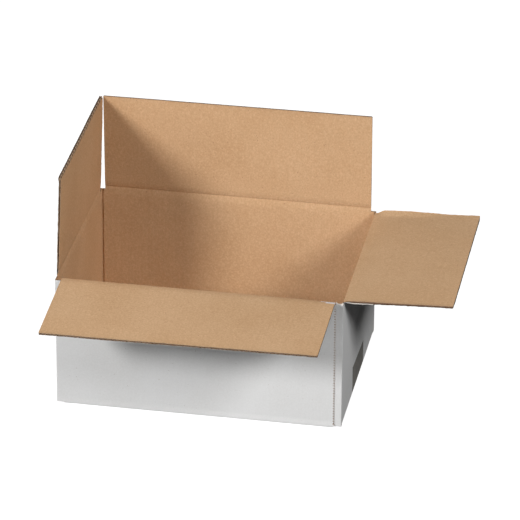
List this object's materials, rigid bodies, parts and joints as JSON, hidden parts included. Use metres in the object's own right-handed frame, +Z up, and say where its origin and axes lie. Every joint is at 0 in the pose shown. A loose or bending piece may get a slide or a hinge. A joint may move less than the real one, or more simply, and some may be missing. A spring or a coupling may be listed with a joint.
{
  "type": "corrugated shipping box",
  "caption": "Slotted carton of fluted board, white outside and brown inside, standing open with its top flaps on crease hinges and its base sealed with tape.",
  "frame": {"origin": "middle of the base, on the plane that it stands on", "axes": "+X along the long side towards the wide-open side flap, +Y to the rear, +Z up"},
  "size_m": [0.6868, 0.5513, 0.4254],
  "materials": {
    "carton_board": "matte white-lined outside, brown inside",
    "flap_board": "matte brown inside, white-lined outside",
    "sealing_tape": "smooth film, slightly glossy"
  },
  "bodies": {
    "carton": {"carton_body": "carton_board", "bottom_tape": "sealing_tape"},
    "front_flap": {"front_flap": "flap_board"},
    "rear_flap": {"rear_flap": "flap_board"},
    "left_flap": {"left_flap": "flap_board"},
    "right_flap": {"right_flap": "flap_board"}
  },
  "joints": [
    {"name": "front_flap_fold", "type": "hinge", "parent": "carton", "child": "front_flap", "pos_m": [0, -0.184, 0.242], "axis": [1, 0, 0], "range_deg": [-183.5, 81.5]},
    {"name": "rear_flap_fold", "type": "hinge", "parent": "carton", "child": "rear_flap", "pos_m": [0, 0.184, 0.242], "axis": [-1, 0, 0], "range_deg": [-88.2, 176.8]},
    {"name": "left_flap_fold", "type": "hinge", "parent": "carton", "child": "left_flap", "pos_m": [-0.25, 0, 0.2387], "axis": [0, -1, 0], "range_deg": [-88, 177]},
    {"name": "right_flap_fold", "type": "hinge", "parent": "carton", "child": "right_flap", "pos_m": [0.25, 0, 0.2387], "axis": [0, 1, 0], "range_deg": [-177.5, 87.5]}
  ]
}
